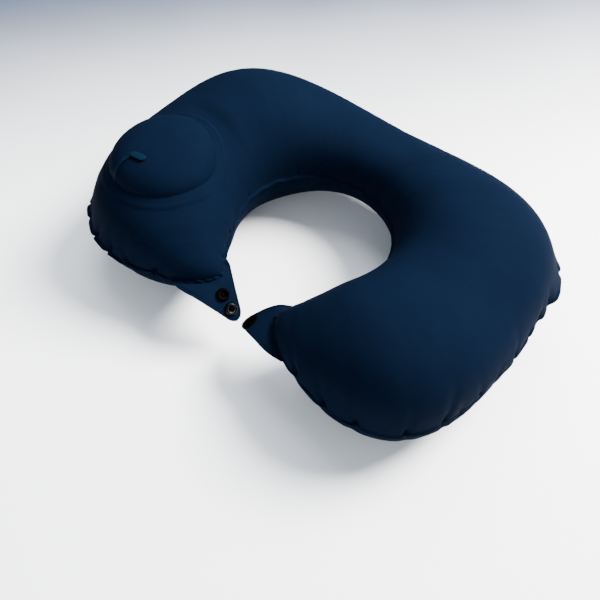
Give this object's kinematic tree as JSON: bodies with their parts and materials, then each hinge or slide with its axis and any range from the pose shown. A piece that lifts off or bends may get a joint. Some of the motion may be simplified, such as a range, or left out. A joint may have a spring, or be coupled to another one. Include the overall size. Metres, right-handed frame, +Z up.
{
  "type": "inflatable U shaped neck pillow",
  "caption": "U shaped inflatable travel neck pillow in soft navy fabric, with a round press pump on one arm and press stud tabs that close the front.",
  "frame": {"origin": "middle of the bounding box's underside, on the surface that the pillow rests on", "axes": "+X across the pillow towards the plain arm, +Y towards the nape, +Z up"},
  "size_m": [0.4196, 0.2844, 0.1315],
  "materials": {
    "pillow_fabric": "brushed knit laminated to a film, soft matt",
    "tab_fabric": "two brushed sheets welded flat",
    "pump_fabric": "brushed knit over a moulded dome",
    "pump_film": "smooth film sheet",
    "plug_rubber": "soft matt moulding",
    "pump_foam": "open cell foam",
    "snap_black": "moulded black, glossy",
    "snap_steel": "bright wire",
    "clear_film": "clear soft plastic"
  },
  "bodies": {
    "pump_side": {"upper_panel_pump_side": "pillow_fabric", "lower_panel_pump_side": "pillow_fabric", "pump_base": "pump_film", "pump_skirt": "pump_fabric", "pump_foam": "pump_foam", "check_valve_seat": "clear_film", "release_valve_flange": "clear_film"},
    "plain_side": {"upper_panel_plain_side": "pillow_fabric", "lower_panel_plain_side": "pillow_fabric"},
    "left_tab": {"left_tab": "tab_fabric", "tip_snap_socket": "snap_black", "tip_snap_spring_ring": "snap_steel", "tip_snap_rivet": "snap_black", "inner_snap_socket": "snap_black", "inner_snap_spring_ring": "snap_steel", "inner_snap_rivet": "snap_black"},
    "right_tab": {"right_tab": "tab_fabric", "snap_cap": "snap_black", "snap_stud": "snap_black"},
    "pump_dome": {"pump_dome": "pump_fabric", "plug_strap_anchor": "plug_rubber"},
    "air_plug": {"air_hole_plug": "plug_rubber"},
    "check_flap": {"check_valve_flap": "clear_film"},
    "valve_stem": {"release_valve_stem": "clear_film", "stopper_tether": "clear_film"},
    "valve_stopper": {"release_valve_stopper": "clear_film"},
    "release_flap": {"release_valve_flap": "clear_film"}
  },
  "joints": [
    {"name": "arm_spread", "type": "hinge", "parent": "pump_side", "child": "plain_side", "pos_m": [0, 0.09993, 0.05858], "axis": [0, 0, 1], "range_deg": [-1.5, 20], "stiffness_Nm_per_rad": 2},
    {"name": "left_tab_flex", "type": "hinge", "parent": "pump_side", "child": "left_tab", "pos_m": [-0.031, -0.10836, 0.05858], "axis": [-0.2079, -0.9781, 0], "range_deg": [-25, 35], "stiffness_Nm_per_rad": 0.03},
    {"name": "right_tab_flex", "type": "hinge", "parent": "plain_side", "child": "right_tab", "pos_m": [0.031, -0.1091, 0.05858], "axis": [-0.2079, 0.9781, 0], "range_deg": [-25, 35], "stiffness_Nm_per_rad": 0.03},
    {"name": "pump_press", "type": "slide", "parent": "pump_side", "child": "pump_dome", "axis": [0, 0, -1], "range_m": [0, 0.006], "stiffness_N_per_m": 500, "deforming": ["pump_foam"]},
    {"name": "air_plug_flip", "type": "hinge", "parent": "pump_dome", "child": "air_plug", "pos_m": [-0.13956, -0.08633, 0.13071], "axis": [0.1293, -0.9916, 0], "range_deg": [0, 100], "stiffness_Nm_per_rad": 0.002},
    {"name": "check_flap_open", "type": "hinge", "parent": "pump_side", "child": "check_flap", "pos_m": [-0.1405, -0.05832, 0.11389], "axis": [0, 1, 0], "range_deg": [0, 35], "stiffness_Nm_per_rad": 0.0001},
    {"name": "valve_stem_pull", "type": "slide", "parent": "pump_side", "child": "valve_stem", "axis": [-0.8085, -0.0004, -0.5885], "range_m": [0, 0.008]},
    {"name": "stopper_pull", "type": "slide", "parent": "valve_stem", "child": "valve_stopper", "axis": [-0.8085, -0.0004, -0.5885], "range_m": [0, 0.01], "deforming": ["stopper_tether"]},
    {"name": "release_flap_open", "type": "hinge", "parent": "valve_stem", "child": "release_flap", "pos_m": [-0.18567, -0.02854, 0.03131], "axis": [0.5884, 0.0211, -0.8083], "range_deg": [0, 40], "stiffness_Nm_per_rad": 0.0001}
  ]
}
